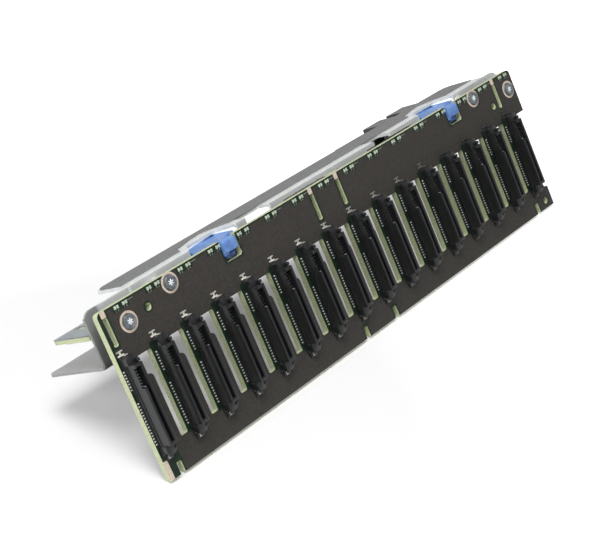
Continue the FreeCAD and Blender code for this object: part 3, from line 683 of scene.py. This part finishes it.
first_housing = housing()
for k, one in enumerate(row_of(first_housing, "connector_housing")):
    wear(one, BLACK, replaces=["drive_connector_%02d" % (k + 1)])
print("housing faces", len(first_housing.data.polygons))

# %% [markdown]
# The contacts are stamped from thin plated strip. Each has a flat tail soldered to the board and
# a spring beam that stands in the slot. Seven more stand on the slot's other side, closer
# together, between the signal and the power rows. Boxes are enough, because strip is flat.

# %% Contacts
TAIL = (0.35, 2.7, -0.32, -0.02)
BEAM = (3.12, 3.27, -4.6, -1.25)
HALF_STRIP = 0.22
FAR_TAIL = (5.4, 7.6, -0.3, -0.02)
FAR_BEAM = (4.5, 4.65, -4.6, -1.25)
FAR_HALF_STRIP = 0.2
FAR_COUNT = 7
FAR_PITCH = 0.8


def contact(tail, beam, z, half):
    return [block("tail", *tail, z - half, z + half), block("beam", *beam, z - half, z + half)]


def contacts():
    strips = []
    for z in SIGNAL_Z + POWER_Z:
        strips += contact(TAIL, BEAM, z, HALF_STRIP)
    middle = (SIGNAL_Z[-1] + POWER_Z[0]) / 2
    for i in range(FAR_COUNT):
        z = middle + FAR_PITCH * (i - FAR_COUNT // 2)
        strips += contact(FAR_TAIL, FAR_BEAM, z, FAR_HALF_STRIP)
    return bevelled(joined("contact_strips_01", strips), 0.05, 1)


first_strips = contacts()
for k, one in enumerate(row_of(first_strips, "contact_strips")):
    wear(one, TIN, replaces=["connector_contacts_%02d" % (k + 1)])
print("contact faces", len(first_strips.data.polygons))

# %% [markdown]
# The fixing screws have a low round head on a shank that goes through the board. The disc of the
# head is inset and sunk to make its rim. Its driver recess is shown as a painted highlight, a
# small white star, because in the real one its walls mirror the light: three thin bars, crossed.

# %% Board screws
HEAD_R = 2.95
HEAD_DEEP = (-1.25, -0.35)
HEAD_RIM = 0.9
HEAD_SUNK = 0.3
SHANK_R = 1.45
SHANK_DEEP = (-0.1, 7.4)
STAR_HALF = 1.35
STAR_BAR = 0.5
STAR_DEEP = (-1.08, -0.6)
STAR_TURNS = (20, 80, 140)


def screw_head(x, z):
    head = disc("screw", x, z, HEAD_R, *HEAD_DEEP, ROUND)
    sunk_front(head, HEAD_RIM, HEAD_SUNK)
    bevelled(head, 0.18, 3)
    shank = disc("screw", x, z, SHANK_R, *SHANK_DEEP, ROUND // 2)
    return [head, bevelled(shank, 0.2, 1)]


def screw_star(x, z):
    bars = []
    for turn in STAR_TURNS:
        bar = block("bar", x - STAR_HALF, x + STAR_HALF, *STAR_DEEP, z - STAR_BAR / 2,
                    z + STAR_BAR / 2)
        select_only(bar)
        bpy.ops.transform.rotate(value=math.radians(turn), orient_axis="Y",
                                 center_override=at(x, 0, z))
        bars.append(settle(bar))
    return bevelled(joined("star", bars), 0.08, 1)


heads = []
stars = []
for x, z in SCREWS:
    heads += screw_head(x, z)
    stars.append(screw_star(x, z))
wear(smooth(joined("fixing_screws", heads)), SCREW_STEEL,
     replaces=["board_screws"])
wear(joined("screw_stars", stars), PAINTED_RECESS_GLINT)
print("screws", len(stars))

# %% [markdown]
# Each status indicator is a small pale body between two soldered ends, with test points below
# it. They sit in pairs above every connector. Boxes with soft edges do for pieces this small.

# %% Status indicators
LED_TOP = HIGH - 0.85
LED_HALF = 0.4
LED_DEEP = (-0.5, -0.02)
LED_DOWN = (1.0, 0.1)
END_DEEP = (-0.4, -0.02)
END_DOWN = 1.25
END_UP = 0.1
END_INNER = 0.36
END_OUTER = 1.15
TICK_AT = 0.62
TICK_HALF = 0.13
TICK_ROWS = (1.75, 2.2)
TICK_HALF_HIGH = 0.12


def indicator_end(middle, side):
    """One soldered end of an indicator and the two test points below it."""
    inner = middle + END_INNER * side
    outer = middle + END_OUTER * side
    made = [block("end", min(inner, outer), max(inner, outer), *END_DEEP, LED_TOP - END_DOWN,
                  LED_TOP + END_UP)]
    for down in TICK_ROWS:
        made.append(block("tick", middle + TICK_AT * side - TICK_HALF,
                          middle + TICK_AT * side + TICK_HALF, *PLATING_DEEP,
                          LED_TOP - down - TICK_HALF_HIGH, LED_TOP - down + TICK_HALF_HIGH))
    return made


bodies = []
ends = []
for k in range(CONNECTORS):
    for x in LED_X:
        middle = x + PITCH * k
        bodies.append(block("led", middle - LED_HALF, middle + LED_HALF, *LED_DEEP,
                            LED_TOP - LED_DOWN[0], LED_TOP - LED_DOWN[1]))
        ends += indicator_end(middle, -1)
        ends += indicator_end(middle, 1)
print("indicators", len(bodies))

# %% [markdown]
# Between the pairs runs a row of tiny plated holes, but not in two of the gaps. They are shown
# as small bright dots: at this size a drilled hole would cost many faces and look the same.

# %% Plated holes
DOTS = 9
DOT_STEP = 0.55
DOT_HALF = 0.12
DOT_LOW = HIGH - 1.3
DOT_HIGH = HIGH - 1.06
DOT_ROW_LEFT = 3.2
NO_DOTS_BEFORE = (5, 14)

for k in range(1, CONNECTORS):
    if k in NO_DOTS_BEFORE:
        continue
    for i in range(DOTS):
        x = PITCH * k - DOT_ROW_LEFT + DOT_STEP * i
        ends.append(block("dot", x - DOT_HALF, x + DOT_HALF, *PLATING_DEEP, DOT_LOW, DOT_HIGH))
wear(bevelled(joined("indicator_bodies", bodies), 0.12, 2), LED_BODY,
     replaces=["status_indicators"])
bright = wear(bevelled(joined("indicator_ends", ends), 0.03, 1), LED_END)
print("indicator end faces", len(bright.data.polygons))

# %% [markdown]
# A bent metal clip holds each end of a connector to the board. At the upper end it shows most: an
# upstand against the moulding and a soldered foot. The frame's clip is a plain angle there, so two
# waists are cut into its foot, which leaves an I, and its upstand is trimmed. A second small foot
# beside it and the bent end that shows at the lower clip are added.

# %% Hold-down clips
FOOT_DEEP = (-0.32, -0.02)
FOOT_WAIST = 1.15
WAIST_DEEP = (-0.4, 0.2)
WAIST_ENDS = (0.6, 0.55)
BLADE_DEEP = (-4, -0.9)
BLADE_RIGHT = 1.6
BLADE_HALF = 0.5
UPPER_FOOT = (6.15, 7.1, 50.7, 52.2)
HOOK_DEEP = (-1.0, -0.75)
HOOKS = ((2.9, 4.0, -1.9, -1.5), (2.9, 3.3, -1.6, -0.5))


def clip_cuts(x):
    left, right, low, high = CLIP_FOOT
    made = [block("waist", x + x0, x + x1, *WAIST_DEEP, low + WAIST_ENDS[0],
                  high - WAIST_ENDS[1])
            for x0, x1 in ((left - 1, left + FOOT_WAIST), (right - FOOT_WAIST, right + 1))]
    made.append(block("blade", x + left - 1, x + left + BLADE_RIGHT, *BLADE_DEEP,
                      low - BLADE_HALF, low + BLADE_HALF))
    return made


def clip_feet(x):
    left, right, low, high = UPPER_FOOT
    made = [block("foot", x + left, x + right, *FOOT_DEEP, low, high)]
    for left, right, low, high in HOOKS:
        made.append(block("hook", x + left, x + right, *HOOK_DEEP, LOW_END + low,
                          LOW_END + high))
    return made


clips = merged_copy("hold_down_clips", "clip_pair")
cuts = []
feet = []
for k in range(CONNECTORS):
    cuts += clip_cuts(PITCH * k)
cut(clips, joined("cuts", cuts))
for k in range(CONNECTORS):
    feet += clip_feet(PITCH * k)
clips = bevelled(joined("clip_feet", [clips] + feet), 0.07, 1)
wear(clips, CLIP_STEEL, replaces=["hold_down_clips"])
print("clip faces", len(clips.data.polygons))

# %% [markdown]
# The release tabs are thin blue mouldings. Each keeps its own solid's shape; the arm's top is
# inset and sunk, which leaves the raised rim that stiffens such a moulding, and all its edges are
# rounded so that they catch the light.

# %% Release tabs
RIM_WIDTH = 1.1
RIM_HEIGHT = 0.8
TOP_DEPTH = 0.1


def release_tab(side):
    tab = merged_copy("release_tab_" + side, "blue_tab_" + side)
    top = max(vertex.co.z for vertex in tab.data.vertices) - TOP_DEPTH * MM
    chosen = pick_faces(tab, lambda face: face.normal.z > 0.9 and face.center.z > top)
    bpy.ops.mesh.inset(thickness=RIM_WIDTH * MM, depth=0)
    bpy.ops.transform.translate(value=(0, 0, -RIM_HEIGHT * MM))
    bpy.ops.object.mode_set(mode="OBJECT")
    bevelled(tab, 0.28, 3, angle=40)
    wear(smooth(tab), BLUE, body=side + "_tab",
         replaces=["release_tab_" + side])
    print(side, "tab, top faces", chosen)


for side in ("left", "right"):
    release_tab(side)

# %% [markdown]
# Each tab ends in a tongue that stands in the board's notch. Its lower end curls inwards to a
# finger lip, which lies in the tongue's shade; its darker blue is that shade, painted in. It is a
# block whose inner face is drawn in and lifted, with round edges. A lip rides on its own tab, so
# it swings with it.

# %% Finger lips
LIP = (70.6, 75.6, -0.2, 3.4, 64.1, 66.9)
LIP_IN = 1.2
LIP_UP = 0.6
LIP_TAPER = (0.7, 1, 0.5)


def finger_lip(side, shift):
    left, right, front, back, low, high = LIP
    lip = block("finger_lip_" + side, left + shift, right + shift, front, back, low, high)
    rearmost = max(face.center.y for face in lip.data.polygons)
    pick_faces(lip, lambda face: face.center.y > rearmost - 0.01 * MM)
    inwards = (0, LIP_IN * MM, LIP_UP * MM)
    bpy.ops.mesh.extrude_region_move(TRANSFORM_OT_translate={"value": inwards})
    bpy.ops.transform.resize(value=LIP_TAPER)
    bpy.ops.object.mode_set(mode="OBJECT")
    bevelled(lip, 0.5, 3)
    return wear(smooth(lip), SHADED_BLUE, body=side + "_tab")


for i, side in enumerate(("left", "right")):
    lip = finger_lip(side, TAB_SPACING * i)
    print(lip.name, "faces", len(lip.data.polygons))

# %% [markdown]
# The board on the shelf is held by four small pan head screws, one on each post. The head starts
# as a disc that lies flat, its top is inset and sunk for the driver, and its rim is rounded.

# %% Expander screws
POST_HEAD_R = 2.4
POST_HEAD_HIGH = 1.4
DRIVER_INSET = 1.3
DRIVER_DEPTH = 0.6
POSTS = ((46, 31), (150.2, 31), (170.2, 40), (268, 31))
EXPANDER_TOP = (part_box("expander_board")[1][2] - BOARD_LO.z) / MM


def post_screw(x, y):
    bpy.ops.object.select_all(action="DESELECT")
    bpy.ops.mesh.primitive_cylinder_add(vertices=32, radius=POST_HEAD_R * MM,
                                        depth=POST_HEAD_HIGH * MM,
                                        location=at(x, y, EXPANDER_TOP + POST_HEAD_HIGH / 2))
    head = settle(bpy.context.object)
    highest = max(face.center.z for face in head.data.polygons)
    pick_faces(head, lambda face: face.center.z > highest - 0.01 * MM)
    bpy.ops.mesh.inset(thickness=DRIVER_INSET * MM, depth=0)
    bpy.ops.transform.translate(value=(0, 0, -DRIVER_DEPTH * MM))
    bpy.ops.object.mode_set(mode="OBJECT")
    return bevelled(head, 0.2, 2)


post_screws = joined("expander_screws", [post_screw(x, y) for x, y in POSTS])
wear(smooth(post_screws), SCREW_STEEL)
print("post screws", len(POSTS))

# %% [markdown]
# The other frame nodes have the right shape already. They keep their own meshes and only take
# better finishes in their material slots.

# %% Finishes for the frame's own nodes
# The bracket's finish holds the painted shade made above, and the cover's darker steel is painted
# shade too.
FINISH = {"board_standoffs": ZINC, "steel_bracket": BRACKET_ZINC, "top_sheet": SHEET,
          "expander_board": GLASS_EDGE, "expander_cover": SHADED_COVER_STEEL, "expander_posts": ZINC,
          "power_connector": BLACK, "expander_chip": CHIP, "heat_sink": ALUMINIUM}
for side in ("left", "right"):
    FINISH["pivot_pin_" + side] = ZINC
    FINISH["return_spring_" + side] = SCREW_STEEL
    FINISH["bridge_connector_" + side] = BLACK
    FINISH["cable_connector_" + side] = BLACK
for node, material in FINISH.items():
    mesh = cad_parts[node].data
    mesh.materials.clear()
    mesh.materials.append(material)
print("frame nodes dressed", len(FINISH))

# %% [markdown]
# The board stays upright in its own frame, while in use on a bench it leans back on its bracket.
# So the floor and the camera lean forward by that angle instead, which shows the same thing. The
# floor is seen from above only: from below it lets everything through. For the camera alone it
# glows a little, more with distance, so that it fades to white and still keeps the shadow.

# %% Floor finish
LEAN = math.radians(29.77)
UP = Vector((0, -math.sin(LEAN), math.cos(LEAN)))
FADE_CENTRE = (-0.14, 0.03, 0)
FADE_NEAR = 0.12
FADE_FAR = 0.4
GLOW_NEAR = 0.16
GLOW_FAR = 0.86
FLOOR_GREY = (0.76, 0.76, 0.76, 1)


def floor_glow(tree):
    """The glow that only the camera sees, which grows from the shadow outwards."""
    place = tree.nodes.new("ShaderNodeTexCoord")
    distance = tree.nodes.new("ShaderNodeVectorMath")
    distance.operation = "DISTANCE"
    distance.inputs[1].default_value = FADE_CENTRE
    fade = node_of(tree, "ShaderNodeMapRange", From_Min=FADE_NEAR, From_Max=FADE_FAR,
                   To_Min=GLOW_NEAR, To_Max=GLOW_FAR)
    seen_by = tree.nodes.new("ShaderNodeLightPath")
    tree.links.new(place.outputs["Object"], distance.inputs[0])
    tree.links.new(distance.outputs["Value"], fade.inputs["Value"])
    return joined_by(tree, "MULTIPLY", fade.outputs["Result"], seen_by.outputs["Is Camera Ray"])


def floor_finish():
    material = bpy.data.materials.new("pale_floor")
    material.use_nodes = True
    tree = material.node_tree
    plain = tree.nodes["Principled BSDF"]
    plain.inputs["Base Color"].default_value = FLOOR_GREY
    plain.inputs["Roughness"].default_value = 0.9
    plain.inputs["Specular IOR Level"].default_value = 0.1
    plain.inputs["Emission Color"].default_value = (1, 1, 1, 1)
    tree.links.new(floor_glow(tree), plain.inputs["Emission Strength"])
    clear = tree.nodes.new("ShaderNodeBsdfTransparent")
    side = tree.nodes.new("ShaderNodeNewGeometry")
    mix = tree.nodes.new("ShaderNodeMixShader")
    tree.links.new(side.outputs["Backfacing"], mix.inputs["Fac"])
    tree.links.new(plain.outputs["BSDF"], mix.inputs[1])
    tree.links.new(clear.outputs["BSDF"], mix.inputs[2])
    tree.links.new(mix.outputs["Shader"], tree.nodes["Material Output"].inputs["Surface"])
    return material


FLOOR_FINISH = floor_finish()
print("lean", round(math.degrees(LEAN), 2), "degrees")

# %% [markdown]
# The floor is one large plane just under the board's lower edge. It is staged, which tells the
# frame that it isn't part of the object.

# %% Floor
FOOT = at(LONG / 2, 3.0, 0)
FLOOR_GAP = 0.0002
FLOOR_SIZE = 8

bpy.ops.object.select_all(action="DESELECT")
bpy.ops.mesh.primitive_plane_add(size=FLOOR_SIZE)
floor = bpy.context.object
floor.name = "floor"
floor.rotation_mode = "QUATERNION"
floor.rotation_quaternion = UP.to_track_quat("Z", "Y")
floor.location = FOOT - UP * FLOOR_GAP
floor.data.materials.append(FLOOR_FINISH)
print("floor", FLOOR_SIZE, "m wide")

# %% [markdown]
# Soft studio light comes from three broad discs, all aimed at the middle of the board: one above
# and in front, one from the left and a weak one in front. A wide lamp gives a soft shadow.

# %% Lamps
CENTRE = at(LONG / 2, 10, HIGH / 2)


def lamp(name, offset, size, power):
    data = bpy.data.lights.new(name, "AREA")
    data.shape = "DISK"
    data.size = size
    data.energy = power
    obj = bpy.data.objects.new(name, data)
    bpy.context.scene.collection.objects.link(obj)
    obj.location = CENTRE + Vector(offset)
    obj.rotation_mode = "QUATERNION"
    obj.rotation_quaternion = Vector(offset).to_track_quat("Z", "Y")
    return obj


lamps = [lamp("overhead", (-0.35, -0.9, 1.15), 0.8, 16),
         lamp("left_side", (-1.3, -0.45, 0.6), 0.7, 9.5),
         lamp("front_fill", (0.3, -1.6, 0.2), 1.0, 0.8)]
print("lamp power in all", round(sum(one.data.energy for one in lamps), 1), "W")

# %% [markdown]
# The camera sees the world as plain white. As light on the object it is dim. In a mirror it is
# pale behind the object, so that metal shines, and dim in front, so that black mouldings stay
# black. The strengths of these parts add up, each for its own kind of ray.

# %% World
DIM = 0.22
TO_WHITE = 0.78
MIRROR_DIM_AT = -0.7
MIRROR_PALE_AT = 0.2
MIRROR_PALE = 0.82

world = bpy.data.worlds.new("studio")
bpy.context.scene.world = world
world.use_nodes = True
sky = world.node_tree
ray = sky.nodes.new("ShaderNodeLightPath")


def plus(value, share, base):
    """base + share * value, as one node."""
    node = sky.nodes.new("ShaderNodeMath")
    node.operation = "MULTIPLY_ADD"
    sky.links.new(value, node.inputs[0])
    node.inputs[1].default_value = share
    if isinstance(base, float):
        node.inputs[2].default_value = base
    else:
        sky.links.new(base, node.inputs[2])
    return node.outputs["Value"]


direction = sky.nodes.new("ShaderNodeTexCoord")
axes = sky.nodes.new("ShaderNodeSeparateXYZ")
behind = node_of(sky, "ShaderNodeMapRange", From_Min=MIRROR_DIM_AT, From_Max=MIRROR_PALE_AT,
                 To_Min=0.0, To_Max=MIRROR_PALE)
sky.links.new(direction.outputs["Generated"], axes.inputs["Vector"])
sky.links.new(axes.outputs["Y"], behind.inputs["Value"])
mirrored = joined_by(sky, "MULTIPLY", ray.outputs["Is Glossy Ray"], behind.outputs["Result"])
strength = plus(ray.outputs["Is Camera Ray"], TO_WHITE, DIM)
strength = plus(ray.outputs["Is Transmission Ray"], TO_WHITE, strength)
strength = plus(mirrored, 1.0, strength)
sky.links.new(strength, sky.nodes["Background"].inputs["Strength"])
sky.nodes["Background"].inputs["Color"].default_value = (1, 1, 1, 1)
print("world for the camera", DIM + TO_WHITE)

# %% [markdown]
# The camera is a long lens from the left, above and in front, because a long lens keeps the far
# connectors nearly as large as the near ones. It is level with the leaning floor, so its own up
# direction is built from the floor's.

# %% Camera
CAMERA_AT = at(-313.82, -472.14, 171.44)
LOOK = Vector((0.6484748, 0.7339340, -0.2020428))
LENS = 90.1
SENSOR = 36

back = -LOOK.normalized()
right = UP.cross(back).normalized()
top = back.cross(right)
camera_data = bpy.data.cameras.new("camera")
camera_data.sensor_width = SENSOR
camera_data.lens = LENS
camera = bpy.data.objects.new("camera", camera_data)
bpy.context.scene.collection.objects.link(camera)
turn = Matrix((right, top, back)).transposed().to_4x4()
camera.matrix_world = Matrix.Translation(CAMERA_AT) @ turn
bpy.context.scene.camera = camera
bpy.context.scene.view_settings.view_transform = "Standard"
print("lens", LENS, "mm")
